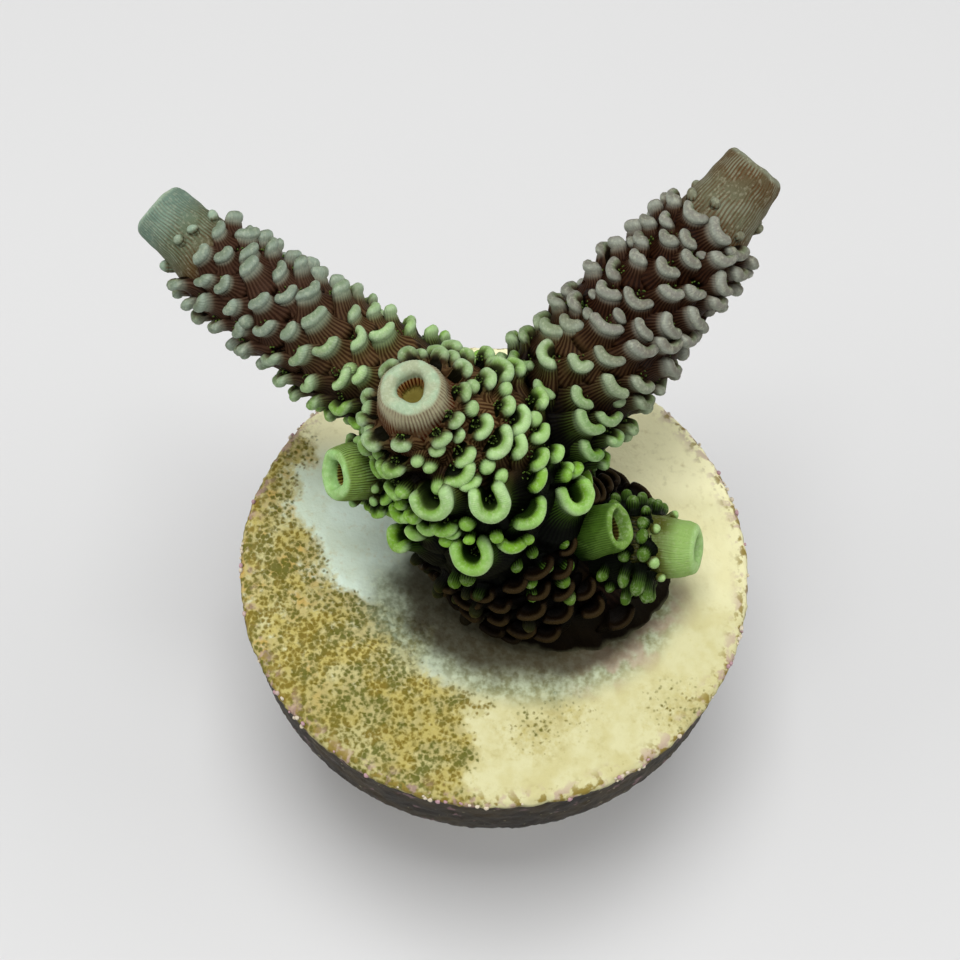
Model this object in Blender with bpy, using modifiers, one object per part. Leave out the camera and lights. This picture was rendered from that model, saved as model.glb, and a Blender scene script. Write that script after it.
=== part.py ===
"""Acropora coral grown on a ceramic plug: a turned plug, the coral's trunk, and its limbs, one object each.

Lengths are in metres. The origin is the centre of the plug's foot, and +Z is up. Limbs are tubes swept along
smooth paths. Each tube's staggered faces are drawn out into cup-shaped corallites.
"""

import math

import bmesh
import bpy
from mathutils import Vector

MM = 0.001
GAP = 0.2 * MM

# The plug.
PLUG_HEIGHT = 17.0 * MM
DISC_RADIUS = 12.5 * MM
DISC_THICKNESS = 5.0 * MM
UNDERSIDE_RADIUS = 12.2 * MM
STEM_RADIUS = 5.6 * MM
FOOT_RADIUS = 5.0 * MM
EDGE_ROUND = 0.5 * MM
PLUG_STEPS = 40

# The coral. A path is a list of (x, y, z, radius) in mm from the centre of the plug's top face.
# "columns" corallites stand in each row, from "first" to "last" mm along the path. Their spacing is the
# circumference divided by the columns; "pitch", "length" and "width" are shares of it.
# "young" is how small the first row is, and "wall" a lip's thickness in mm.
# "face" is the direction of column 0. A foot is an oval, this much longer across the face than along it, that
# turns round by "until" mm along the path. A tip's "mouth" is its mouth's radius and "depth" its depth in mm.
LIMBS = {
    "trunk": {
        "path": [
            (2.8, 0.2, -1.6, 5.8),
            (2.5, 0.1, 0.9, 4.4),
            (0.9, 0.0, 3.6, 3.9),
            (-0.6, 0.5, 6.6, 3.8),
            (-1.3, 0.9, 9.3, 3.7),
            (-2.7, 1.1, 11.4, 3.05),
            (-3.7, 0.9, 13.3, 1.9),
            (-4.1, 0.75, 15.4, 1.4),
        ],
        "rows": {"first": 3.4, "last": 16.6, "pitch": 0.56, "columns": 10, "young_rows": 4},
        "corallite": {"length": 0.68, "width": 0.7, "wall": 0.6, "young": 0.4},
        "face": (0.0, -1.0, 0.0),
        "foot": {"oval": 1.32, "until": 6.0},
        "tip": {"mouth": 0.66, "depth": 1.2},
        "grows_from": [],
    },
    "right_branch": {
        "path": [
            (0.2, 1.9, 7.3, 2.6),
            (2.9, 4.2, 9.7, 2.5),
            (5.5, 6.6, 12.2, 2.25),
            (8.2, 9.1, 14.6, 1.85),
            (10.85, 11.95, 17.2, 1.48),
        ],
        "rows": {"first": 3.2, "last": 14.2, "pitch": 0.6, "columns": 9, "young_rows": 1},
        "corallite": {"length": 0.82, "width": 0.68, "wall": 0.55, "young": 0.9},
        "face": (0.0, 0.0, 1.0),
        "tip": {"mouth": 0.62, "depth": 1.1},
        "grows_from": ["trunk"],
    },
    "left_branch": {
        "path": [
            (-1.6, 2.9, 8.0, 2.3),
            (-4.6, 3.7, 10.1, 2.15),
            (-8.3, 5.0, 11.8, 1.95),
            (-12.2, 7.0, 13.4, 1.65),
            (-16.1, 9.6, 15.2, 1.38),
        ],
        "rows": {"first": 3.0, "last": 14.9, "pitch": 0.63, "columns": 9, "young_rows": 1},
        "corallite": {"length": 0.88, "width": 0.68, "wall": 0.55, "young": 0.9},
        "face": (0.0, 0.0, 1.0),
        "tip": {"mouth": 0.62, "depth": 1.1},
        "grows_from": ["trunk", "right_branch"],
    },
    "left_stub": {
        "path": [
            (-1.6, 1.7, 6.7, 1.7),
            (-4.6, 0.8, 8.1, 1.5),
            (-7.55, -0.67, 9.6, 1.24),
        ],
        "rows": {"first": 3.3, "last": 5.2, "pitch": 0.65, "columns": 7, "young_rows": 1},
        "corallite": {"length": 0.8, "width": 0.68, "wall": 0.5, "young": 0.9},
        "face": (0.0, 0.0, 1.0),
        "tip": {"mouth": 0.6, "depth": 1.1},
        "grows_from": ["trunk", "left_branch"],
    },
    "low_branch": {
        "path": [
            (1.6, 0.2, 2.2, 2.9),
            (4.6, -0.3, 3.2, 2.2),
            (7.1, -0.8, 4.1, 1.6),
            (9.5, -1.2, 4.8, 1.25),
        ],
        "rows": {"first": 3.0, "last": 6.6, "pitch": 0.55, "columns": 8, "young_rows": 1},
        "corallite": {"length": 0.8, "width": 0.52, "wall": 0.5, "young": 0.9},
        "face": (0.0, 0.0, 1.0),
        "tip": {"mouth": 0.55, "depth": 1.0},
        "grows_from": ["trunk"],
    },
    "low_stub": {
        "path": [
            (2.6, -0.4, 3.7, 1.4),
            (4.0, -1.0, 5.5, 1.25),
            (5.7, -1.15, 6.8, 1.15),
        ],
        "rows": None,
        "face": (0.0, -1.0, 0.0),
        "tip": {"mouth": 0.56, "depth": 1.0},
        "grows_from": ["trunk", "low_branch"],
    },
}
# Corallites that differ from the general run, by limb, row and column: (width in mm, length in mm,
# shift towards the tip in mm, shift round the limb in mm).
SINGULAR = {
    ("trunk", 3, 3): (0.6, 0.9, -0.5, 0.3),
    ("trunk", 4, 0): (2.0, 1.6, 0.5, -0.4),
    ("trunk", 4, 2): (0.7, 1.1, 0.0, 0.0),
    ("trunk", 4, 18): (0.8, 0.9, -0.5, -0.3),
    ("trunk", 5, 1): (0.6, 1.1, -0.5, 0.4),
    ("trunk", 5, 3): (2.0, 1.7, -1.0, 0.4),
    ("trunk", 5, 19): (0.7, 1.0, 0.0, -0.2),
    ("trunk", 6, 0): (0.6, 1.2, -0.2, -0.1),
    ("trunk", 6, 2): (1.8, 1.5, -0.3, -0.5),
    ("trunk", 6, 18): (1.5, 1.5, -1.3, -0.3),
    ("trunk", 7, 1): (2.1, 1.7, -0.7, 0.3),
    ("trunk", 7, 3): (1.5, 1.3, -0.9, -0.3),
    ("trunk", 7, 19): (1.9, 1.6, 0.5, 0.3),
    ("trunk", 8, 2): (1.5, 1.2, 0.0, 0.3),
    ("trunk", 8, 4): (1.5, 1.2, -0.8, -0.3),
    ("trunk", 9, 1): (1.5, 1.2, -0.3, 0.0),
}
ABSENT = {("trunk", 5, 17), ("trunk", 8, 0), ("trunk", 10, 6), ("trunk", 10, 8)}
PATH_SAMPLES = 60
BARE_COLUMNS = 8

# The general run of corallites: the thickest tube that their spacing follows, in mm, how many rows shrink
# towards the tip and by how much, and how far lengths and widths vary.
WIDEST_TUBE = 4.0
SHRINKING_ROWS = 5
TIP_SHRINK = 0.4
LENGTH_VARIES = 0.16
WIDTH_VARIES = 0.18
# How a corallite leans towards the tip and sways round the limb, as shares of its length.
LEAN = 0.35
LEAN_VARIES = 0.25
SWAY = 0.14
# How far it keeps from other limbs, in mm, and the shorter lengths that it tries.
LEAST_CLEAR = 0.3
BISECTOR_MARGIN = 0.2
SHORTER_TRIES = (1.0, 0.65, 0.4)
# A corallite this wide or more, in mm, is a cup. Its corners are pairs on its root side and its tip side,
# each a height, a place along the limb in wall thicknesses, and a half width as a share of the width.
LEAST_CUP = 0.6
LIP = ((1.0, -0.6, 0.5), (0.78, 0.3, 0.45))
HOLLOW = ((0.8, -0.25, 0.3), (0.45, 0.1, 0.28))
# A limb's tip, in mm: the rim's chamfer, the mouth's chamfer and how deep that goes, and the floor's taper.
RIM_CHAMFER = 0.3
MOUTH_CHAMFER = 0.1
MOUTH_CHAMFER_DEPTH = 0.25
FLOOR_SHARE = 0.75


def clear_scene():
    for obj in list(bpy.data.objects):
        bpy.data.objects.remove(obj, do_unlink=True)


def principled(name, colour, roughness):
    material = bpy.data.materials.new(name)
    material.use_nodes = True
    shader = material.node_tree.nodes["Principled BSDF"]
    shader.inputs["Base Color"].default_value = (*colour, 1.0)
    shader.inputs["Roughness"].default_value = roughness
    shader.inputs["Metallic"].default_value = 0.0
    return material


def link_mesh(name, bm, collection, material):
    mesh = bpy.data.meshes.new(name)
    bm.to_mesh(mesh)
    bm.free()
    obj = bpy.data.objects.new(name, mesh)
    obj.data.materials.append(material)
    collection.objects.link(obj)
    return obj


# ---------------------------------------------------------------- paths


def spline(points, t):
    """The Catmull-Rom curve through (x, y, z, radius) points, at t from 0 to 1."""
    spans = len(points) - 1
    span = min(int(t * spans), spans - 1)
    u = t * spans - span
    ends = [points[min(max(span + k, 0), spans)] for k in (-1, 0, 1, 2)]
    a, b, c, d = (Vector(p) for p in ends)
    return b + 0.5 * u * (c - a + u * (2 * a - 5 * b + 4 * c - d + u * (3 * (b - c) + d - a)))


class Path:
    """A limb's centre line, measured along its length in mm."""

    def __init__(self, limb):
        self.samples = [spline(limb["path"], k / PATH_SAMPLES) for k in range(PATH_SAMPLES + 1)]
        self.marks = [0.0]
        for a, b in zip(self.samples, self.samples[1:]):
            self.marks.append(self.marks[-1] + (b - a).to_3d().length)
        self.length = self.marks[-1]
        self.reference = Vector(limb["face"])
        foot = limb.get("foot", {"oval": 1.0, "until": 1.0})
        self.flare, self.flare_end = foot["oval"] - 1.0, foot["until"]

    def oval_at(self, s):
        """How much longer the section is across the face than along it, at distance s."""
        return 1.0 + self.flare * max(0.0, 1.0 - s / self.flare_end) ** 2

    def at(self, s):
        """(centre, radius, tangent, normal, side) at distance s."""
        k = 0
        while k < PATH_SAMPLES - 1 and self.marks[k + 1] < s:
            k += 1
        share = (s - self.marks[k]) / (self.marks[k + 1] - self.marks[k])
        here = self.samples[k].lerp(self.samples[k + 1], share)
        low, high = self.samples[max(k - 1, 0)], self.samples[min(k + 2, PATH_SAMPLES)]
        tangent = (high - low).to_3d().normalized()
        normal = (self.reference - self.reference.dot(tangent) * tangent).normalized()
        return here.to_3d(), here.w, tangent, normal, tangent.cross(normal)

    def clearance(self, point):
        """How far a point lies outside the tube round this path."""
        return min((point - sample.to_3d()).length - sample.w for sample in self.samples)


PATHS = {name: Path(limb) for name, limb in LIMBS.items()}


# ---------------------------------------------------------------- corallites


def wobble(name, row, column, salt):
    """A fixed irregular number from -1 to 1 for one corallite."""
    seed = math.sin(len(name) * 3.7 + row * 12.9898 + column * 78.233 + salt * 37.719) * 43758.5453
    return 2 * (seed - math.floor(seed)) - 1


def row_places(name):
    """The bands of a limb as (distance of the band's root side, its middle, its tip side) in mm."""
    rows, path = LIMBS[name]["rows"], PATHS[name]
    bands = []
    s = rows["first"] if rows else path.length
    while rows and s < rows["last"]:
        pitch = rows["pitch"] * 2 * math.pi * path.at(s)[1] / rows["columns"]
        bands.append((s, s + pitch / 2, s + pitch))
        s += pitch
    return bands


def corallite(name, row, column):
    """The points and sizes in mm of one cell's corallite, or None where a neighbour leaves no room."""
    if (name, row, column) in ABSENT:
        return None
    limb, path, bands = LIMBS[name], PATHS[name], BANDS[name]
    form, rows = limb["corallite"], limb["rows"]
    s, angle = bands[row][1], (column + 0.5) * math.pi / rows["columns"]
    radius = path.at(s)[1]
    if (name, row, column) in SINGULAR:
        width, length, along, across = SINGULAR[name, row, column]
        s, angle = s + along, angle + across / radius
    else:
        spacing = 2 * math.pi * min(radius, WIDEST_TUBE) / rows["columns"]
        grown = form["young"] + (1 - form["young"]) * min(1.0, row / rows["young_rows"])
        near_tip = 1.0 - TIP_SHRINK * max(0.0, (row - len(bands) + SHRINKING_ROWS) / SHRINKING_ROWS)
        length = form["length"] * spacing * grown * near_tip
        length *= 1 + LENGTH_VARIES * wobble(name, row, column, 1)
        width = form["width"] * spacing * (0.2 + 0.5 * grown + 0.3 * near_tip)
        width *= 1 + WIDTH_VARIES * wobble(name, row, column, 2)
    centre, radius, tangent, normal, side = path.at(s)
    out = math.cos(angle) * normal + math.sin(angle) * side
    around = tangent.cross(out)
    foot = centre + radius * (math.cos(angle) * normal + path.oval_at(s) * math.sin(angle) * side)
    others = [PATHS[other] for other in LIMBS if other != name]
    if min(other.clearance(foot) for other in others) < LEAST_CLEAR:
        return None
    sway = SWAY * wobble(name, row, column, 3) * around
    rise = LEAN * (1 + LEAN_VARIES * wobble(name, row, column, 4)) * tangent
    for share in SHORTER_TRIES:
        top = foot + (out + rise + sway) * length * share
        nearest = min(other.clearance(top) for other in others)
        if nearest > path.clearance(top) + BISECTOR_MARGIN and top.z > BISECTOR_MARGIN:
            break
    else:
        return None
    return {
        "foot": foot, "top": top, "out": out, "tangent": tangent, "around": around,
        "length": length * share, "width": width, "wall": form["wall"],
    }


BANDS = {name: row_places(name) for name in LIMBS}


# ---------------------------------------------------------------- solids


def rings_of(name):
    """The tube's rings as (distance, radius) in mm, from root to the floor of its mouth, and their bands."""
    limb, path, bands = LIMBS[name], PATHS[name], BANDS[name]
    places = [0.0]
    root = bands[0][0] if bands else path.length - RIM_CHAMFER
    places.append(root / 2)
    start = len(places)
    places += [low for low, _, _ in bands] + ([bands[-1][2]] if bands else [])
    rings = [(s, path.at(s)[1]) for s in places]
    row_of_ring = {start + row: row for row in range(len(bands))}
    end, end_radius = path.length, path.at(path.length)[1]
    mouth, depth = limb["tip"]["mouth"], limb["tip"]["depth"]
    rings += [
        (end - RIM_CHAMFER, end_radius),
        (end, end_radius - RIM_CHAMFER),
        (end, mouth + MOUTH_CHAMFER),
        (end - MOUTH_CHAMFER_DEPTH, mouth),
        (end - depth, mouth * FLOOR_SHARE),
    ]
    return rings, row_of_ring


def swept_tube(name, grow_by=0.0):
    """A cylinder bent along the limb's path. Returns the bmesh and its faces by (ring, column)."""
    limb, path = LIMBS[name], PATHS[name]
    segments = 2 * limb["rows"]["columns"] if limb["rows"] else 2 * BARE_COLUMNS
    rings, row_of_ring = rings_of(name)
    bm = bmesh.new()
    bmesh.ops.create_cone(bm, cap_ends=True, segments=segments, radius1=1, radius2=1, depth=1)
    upright = [edge for edge in bm.edges if abs(edge.verts[0].co.z - edge.verts[1].co.z) > 0.5]
    bmesh.ops.subdivide_edges(bm, edges=upright, cuts=len(rings) - 2, use_grid_fill=True)
    step, cells = 2 * math.pi / segments, {}
    for face in bm.faces:
        middle = face.calc_center_median()
        if middle.to_2d().length > 0.5:
            turn = math.atan2(-middle.x, middle.y) % (2 * math.pi)
            ring = int((middle.z + 0.5) * (len(rings) - 1))
            cells[ring, int(turn / step)] = face
    for vert in bm.verts:
        ring = round((vert.co.z + 0.5) * (len(rings) - 1))
        turn = math.atan2(-vert.co.x, vert.co.y)
        s, radius = rings[ring]
        centre, _, _, normal, side = path.at(s)
        out = math.cos(turn) * normal + path.oval_at(s) * math.sin(turn) * side
        vert.co = (centre + (radius + grow_by) * out) * MM
    return bm, cells, row_of_ring


def draw_out(bm, face, shape):
    """Turns one face of the tube into a cup: a tall thick lip on the root side, open towards the tip."""
    cap = bmesh.ops.extrude_discrete_faces(bm, faces=[face])["faces"][0]
    foot = shape["foot"] * MM
    place_corners(cap, foot, shape, LIP)
    if shape["width"] < LEAST_CUP:
        return
    bmesh.ops.inset_individual(bm, faces=[cap], thickness=0.05 * MM)
    place_corners(cap, foot, shape, HOLLOW)


def place_corners(cap, foot, shape, form):
    """Sets a cup's four corners: each side's height, place along the limb and half width, as shares."""
    ordered = sorted(cap.verts, key=lambda v: (v.co - foot).dot(shape["tangent"]))
    for pair, (height, along, half) in zip((ordered[:2], ordered[2:]), form):
        for vert in pair:
            turn = 1 if (vert.co - foot).dot(shape["around"]) > 0 else -1
            place = shape["foot"] + height * (shape["top"] - shape["foot"])
            place += along * shape["wall"] * shape["tangent"]
            vert.co = (place + turn * half * shape["width"] * shape["around"]) * MM


def coral_limb(name, collection, material):
    bm, cells, row_of_ring = swept_tube(name)
    for (ring, column), face in cells.items():
        row = row_of_ring.get(ring)
        if row is None or (row + column) % 2:
            continue
        shape = corallite(name, row, column)
        if shape:
            draw_out(bm, face, shape)
    bmesh.ops.translate(bm, verts=bm.verts, vec=(0, 0, PLUG_HEIGHT))
    return link_mesh(name, bm, collection, material)


def tube_cutter(name, collection, material):
    """The limb's plain tube, larger by the gap, which cuts what grows from that limb."""
    bm, _, _ = swept_tube(name, grow_by=GAP / MM)
    bmesh.ops.translate(bm, verts=bm.verts, vec=(0, 0, PLUG_HEIGHT))
    return helper(link_mesh(name + "_cutter", bm, collection, material))


def ground_cutter(collection, material):
    """A slab up to just above the plug's top face."""
    top, depth = PLUG_HEIGHT + GAP, 6 * MM
    bm = bmesh.new()
    bmesh.ops.create_cube(bm, size=1)
    bmesh.ops.scale(bm, vec=(3 * DISC_RADIUS, 3 * DISC_RADIUS, depth), verts=bm.verts)
    bmesh.ops.translate(bm, vec=(0, 0, top - depth / 2), verts=bm.verts)
    return helper(link_mesh("ground_cutter", bm, collection, material))


def helper(obj):
    obj.hide_render = True
    obj.display_type = "WIRE"
    return obj


def cut(obj, cutter):
    modifier = obj.modifiers.new(cutter.name, "BOOLEAN")
    modifier.operation = "DIFFERENCE"
    modifier.solver = "EXACT"
    modifier.object = cutter


def frag_plug(collection, material):
    """The turned plug: a disc with a flat underside on a slightly tapered stem."""
    top, under = PLUG_HEIGHT, PLUG_HEIGHT - DISC_THICKNESS
    profile = [
        (0.0, top),
        (DISC_RADIUS - EDGE_ROUND, top),
        (DISC_RADIUS - 0.3 * EDGE_ROUND, top - 0.3 * EDGE_ROUND),
        (DISC_RADIUS, top - EDGE_ROUND),
        (UNDERSIDE_RADIUS + EDGE_ROUND, under + EDGE_ROUND),
        (UNDERSIDE_RADIUS, under),
        (STEM_RADIUS + EDGE_ROUND, under),
        (STEM_RADIUS, under - 1.2 * EDGE_ROUND),
        (FOOT_RADIUS + 0.1 * EDGE_ROUND, EDGE_ROUND),
        (FOOT_RADIUS - EDGE_ROUND, 0.0),
        (0.0, 0.0),
    ]
    mesh = bpy.data.meshes.new("frag_plug")
    edges = [(k, k + 1) for k in range(len(profile) - 1)]
    mesh.from_pydata([(x, 0.0, z) for x, z in profile], edges, [])
    obj = bpy.data.objects.new("frag_plug", mesh)
    mesh.materials.append(material)
    collection.objects.link(obj)
    turn = obj.modifiers.new("turn", "SCREW")
    turn.axis = "Z"
    turn.steps = turn.render_steps = PLUG_STEPS
    turn.use_merge_vertices = True
    turn.merge_threshold = 0.01 * MM
    return obj


def main():
    clear_scene()
    scene = bpy.context.scene
    coral = bpy.data.collections.new("acropora_coral")
    cutters = bpy.data.collections.new("cutters")
    scene.collection.children.link(coral)
    scene.collection.children.link(cutters)
    ceramic = principled("plug_ceramic", (0.72, 0.68, 0.45), 0.85)
    tissue = principled("coral_tissue", (0.30, 0.38, 0.22), 0.6)
    frag_plug(coral, ceramic)
    stock = {name for limb in LIMBS.values() for name in limb["grows_from"]}
    tubes = {name: tube_cutter(name, cutters, tissue) for name in sorted(stock)}
    ground = ground_cutter(cutters, tissue)
    for name, limb in LIMBS.items():
        obj = coral_limb(name, coral, tissue)
        for stem in limb["grows_from"]:
            cut(obj, tubes[stem])
        if name == "trunk":
            cut(obj, ground)


main()
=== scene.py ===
"""The looks of an acropora coral on its plug: tissue over ribbed corallites, polyps and an overgrown plug.

Each limb's CAD solid is replaced by a fine skin on the same path, and by corallites in a run like the CAD's,
with smaller ones between them. Tables are in mm from the centre of the plug's top, the scene in metres.
"""

import math

import bpy
import numpy as np
from mathutils import Matrix, Vector, noise

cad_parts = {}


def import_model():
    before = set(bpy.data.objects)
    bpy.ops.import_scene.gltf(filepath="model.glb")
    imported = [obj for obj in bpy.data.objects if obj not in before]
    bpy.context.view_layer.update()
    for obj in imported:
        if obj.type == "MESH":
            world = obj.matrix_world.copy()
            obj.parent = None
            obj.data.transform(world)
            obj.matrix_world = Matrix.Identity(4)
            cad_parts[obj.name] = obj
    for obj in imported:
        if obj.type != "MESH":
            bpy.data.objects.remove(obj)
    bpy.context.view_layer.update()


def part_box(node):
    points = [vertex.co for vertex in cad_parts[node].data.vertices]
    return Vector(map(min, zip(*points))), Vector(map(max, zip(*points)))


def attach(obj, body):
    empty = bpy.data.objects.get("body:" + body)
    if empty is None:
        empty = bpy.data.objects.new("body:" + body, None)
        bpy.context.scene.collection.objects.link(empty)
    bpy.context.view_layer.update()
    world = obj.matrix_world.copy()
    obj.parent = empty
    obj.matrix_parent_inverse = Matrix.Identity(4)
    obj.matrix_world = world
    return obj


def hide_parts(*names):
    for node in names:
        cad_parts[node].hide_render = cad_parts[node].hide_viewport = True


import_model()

MM = 0.001
PLUG_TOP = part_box("frag_plug")[1].z
DISC_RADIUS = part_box("frag_plug")[1].x

# The coral. A path is a list of (x, y, z, radius) in mm from the centre of the plug's top face. "face" is the
# direction of angle 0 round it, up where it isn't given. A foot is an oval, this much longer across the face
# than along it, that turns round by "until" mm along the path. A tip's "mouth" is its mouth's radius, "depth"
# its depth, "bare" the length of its wall with no corallites, and "swell" how far the limb bulges, in mm.
LIMBS = {
    "trunk": {
        "path": [
            (2.8, 0.2, -1.6, 5.8), (2.5, 0.1, 0.9, 4.4), (0.9, 0.0, 3.6, 3.9), (-0.6, 0.5, 6.6, 3.8),
            (-1.3, 0.9, 9.3, 3.7), (-2.7, 1.1, 11.4, 3.05), (-3.7, 0.9, 13.3, 1.9),
            (-4.1, 0.75, 15.4, 1.4),
        ],
        "face": (0.0, -1.0, 0.0),
        "foot": {"oval": 1.32, "until": 6.0},
        "tip": {"mouth": 0.66, "depth": 1.2, "bare": 1.5, "swell": 0.04},
    },
    "right_branch": {
        "path": [
            (0.2, 1.9, 7.3, 2.6), (2.9, 4.2, 9.7, 2.5), (5.5, 6.6, 12.2, 2.25), (8.2, 9.1, 14.6, 1.85),
            (10.85, 11.95, 17.2, 1.48),
        ],
        "tip": {"mouth": 0.62, "depth": 1.1, "bare": 3.2, "swell": 0.14},
    },
    "left_branch": {
        "path": [
            (-1.6, 2.9, 8.0, 2.3), (-4.6, 3.7, 10.1, 2.15), (-8.3, 5.0, 11.8, 1.95),
            (-12.2, 7.0, 13.4, 1.65), (-16.1, 9.6, 15.2, 1.38),
        ],
        "tip": {"mouth": 0.62, "depth": 1.1, "bare": 2.8, "swell": 0.14},
    },
    "left_stub": {
        "path": [
            (-1.6, 1.7, 6.7, 1.7), (-4.6, 0.8, 8.1, 1.5), (-7.55, -0.67, 9.6, 1.24),
        ],
        "tip": {"mouth": 0.6, "depth": 1.1, "bare": 1.9, "swell": 0.2},
    },
    "low_branch": {
        "path": [
            (1.6, 0.2, 2.2, 2.9), (4.6, -0.3, 3.2, 2.2), (7.1, -0.8, 4.1, 1.6), (9.5, -1.2, 4.8, 1.25),
        ],
        "tip": {"mouth": 0.55, "depth": 1.0, "bare": 2.0, "swell": 0.2},
    },
    "low_stub": {
        "path": [
            (2.6, -0.4, 3.7, 1.4), (4.0, -1.0, 5.5, 1.25), (5.7, -1.15, 6.8, 1.15),
        ],
        "face": (0.0, -1.0, 0.0),
        "tip": {"mouth": 0.72, "depth": 1.0, "bare": 3.0, "swell": 0.0},
    },
}
PATH_SAMPLES = 60

# The general run of corallites on each limb: the "first" and the "last" row, in mm along the path, the
# "columns" in each, and the "pitch" of rows as a share of the spacing round it. A lip's "width" and "height"
# at the root and at the tip, and its "wall", in mm. Half the angle in degrees that it bends through, least
# and most ("turn"), and how far its mouth is turned from the tip ("twist"). The share of the gaps that are
# "filled" by smaller ones, and their size as a share ("fill").
RUN_PARTS = ["first", "last", "columns", "pitch", "width", "height", "wall", "turn", "twist"]
RUN_PARTS += ["filled", "fill"]
RUN_TABLE = {
    "trunk": (5.0, 16.9, 12, 0.52, (1.4, 1.1), (1.2, 0.9), 0.56, (50, 84), 0, 0.8, 0.74),
    "right_branch": (1.4, 14.2, 9, 0.6, (1.6, 1.35), (1.25, 0.95), 0.5, (62, 94), 0, 0.08, 0.6),
    "left_branch": (1.4, 14.9, 8, 0.6, (1.36, 1.04), (1.15, 0.9), 0.46, (52, 94), -16, 0.12, 0.6),
    "left_stub": (3.3, 5.2, 8, 0.6, (1.1, 0.95), (0.9, 0.8), 0.5, (50, 84), 0, 0.3, 0.7),
    "low_branch": (2.6, 6.8, 7, 0.5, (0.66, 0.58), (1.5, 1.1), 0.5, (50, 80), 0, 0.6, 0.9),
}
RUNS = {name: dict(zip(RUN_PARTS, parts)) for name, parts in RUN_TABLE.items()}
# How far places vary, in shares of the spacing, sizes, in shares of themselves, and twists, in degrees.
PLACE_VARIES = 0.14
SIZE_VARIES = 0.16
TWIST_VARIES = 28
# The trunk's notable corallites: mm along it, degrees round it from the front, width and height in mm, half
# the angle in degrees that the wall bends through (0 for a knob, over 90 for a horseshoe), and its twist.
NOTABLE = [
    (9.3, 2, 2.0, 1.6, 165, 0),
    (12.35, 25, 1.8, 1.8, 178, -18),
    (8.15, 69, 2.0, 1.7, 145, -35),
    (11.2, 39, 1.9, 1.5, 68, 10),
    (13.6, 3, 2.1, 1.6, 132, -8),
    (9.4, 311, 1.6, 1.5, 115, -15),
    (15.4, 66, 1.35, 0.95, 75, 0),
    (14.0, 60, 1.8, 1.15, 84, 0),
    (13.4, 80, 1.6, 1.1, 70, 0),
    (14.5, 88, 1.1, 0.95, 60, 0),
    (15.3, 110, 1.15, 0.95, 65, 0),
    (14.4, 117, 1.7, 1.15, 84, 0),
    (13.2, 128, 1.5, 1.1, 75, 0),
    (17.0, 96, 1.0, 0.75, 60, 0),
    (17.2, 58, 0.95, 0.8, 55, 0),
    (16.9, 32, 1.0, 0.85, 60, 0),
    (15.4, 38, 1.15, 0.95, 60, 0),
    (14.7, 26, 1.7, 1.0, 66, 0),
    (15.9, 332, 1.3, 1.0, 80, 0),
    (17.1, 346, 1.0, 0.8, 70, 0),
    (12.3, 66, 1.3, 1.1, 60, 0),
    (12.0, 56, 1.4, 1.1, 50, 20),
    (11.9, 76, 1.0, 1.1, 50, 0),
    (12.7, 104, 1.4, 1.1, 75, 0),
    (12.9, 88, 0.8, 0.9, 0, 0),
    (16.3, 358, 0.65, 0.75, 0, 0),
    (11.3, 2, 0.5, 1.2, 0, 0),
    (11.1, 16, 0.6, 1.2, 0, 0),
    (10.9, 346, 0.65, 1.0, 0, 0),
    (14.9, 6, 0.85, 0.9, 0, 0),
    (14.7, 334, 0.9, 0.9, 0, 0),
    (10.0, 32, 0.55, 1.2, 0, 0),
    (11.2, 72, 0.7, 1.1, 0, 0),
    (16.35, 80, 0.8, 0.8, 0, 0),
    (16.2, 104, 0.75, 0.8, 0, 0),
    (14.2, 43, 0.8, 0.95, 0, 0),
    (14.6, 102, 0.75, 0.9, 0, 0),
    (13.1, 44, 0.7, 1.0, 0, 0),
]
# How a corallite leans towards the tip and sways round the limb, as shares of its height. How clear of other
# limbs its foot stays, and how far its top stays from the middle between two limbs and from the plug, in mm.
# Where it doesn't fit, it tries these shares of its height.
LEAN = 0.55
SWAY = 0.14
LEAST_CLEAR = -0.1
BISECTOR_MARGIN = -0.2
SHORTER_TRIES = (1.0, 0.65, 0.4)

# A limb's skin: points in a ring, and the distance between rings, finer at the tip, where ribs rise over the
# blend's length. Its end is a round rim, then a mouth with septa. Lengths are in mm.
BODY_COLUMNS = 300
RING_STEP = 0.24
TIP_STEP = 0.1
RIBS = 60
RIB_DEPTH = 0.008
BLEND = 1.2
RIM_HEIGHT = 0.45
SEPTA = 24
SEPTA_DEPTH = 0.09
# Soft unevenness: how wide and deep its lumps are in mm. The foot's are deeper, up to this far along it.
LIMB_LUMPS = ((1.9, 0.09), (0.8, 0.04))
RIM_LUMPS = ((1.9, 0.036), (0.8, 0.04))
CUP_LUMPS = ((1.3, 0.05), (0.5, 0.016))
KNOB_LUMPS = ((0.8, 0.05),)
RAGGED, RAGGED_LENGTH = 0.175, 3.0

# A cup's wall in section, from its outer foot over its lip to its inner foot: the share of the wall's height,
# the place across and above that in half thicknesses, the flare as a share of the room, and 1 on the inside.
WALL_HALF = 0.85
OUTER_FLARE = ((-0.3, 0.7), (0, 0.5), (0.14, 0.32), (0.4, 0.13), (0.75, 0.02))
INNER_FLARE = ((0.7, 0.15), (0.35, 0.5), (0.1, 0.8), (-0.3, 1))
LIP_ANGLES = (-38, -5, 25, 55, 90, 125, 155, 185, 218)
SECTION = [(rise, WALL_HALF, 0, flare, 0) for rise, flare in OUTER_FLARE]
for degrees in LIP_ANGLES:
    angle = math.radians(degrees)
    SECTION.append((1, math.cos(angle), math.sin(angle), 0, max(0, (degrees - 20) / 198)))
SECTION += [(rise, -WALL_HALF, 0, flare, 1) for rise, flare in INNER_FLARE]
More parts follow.
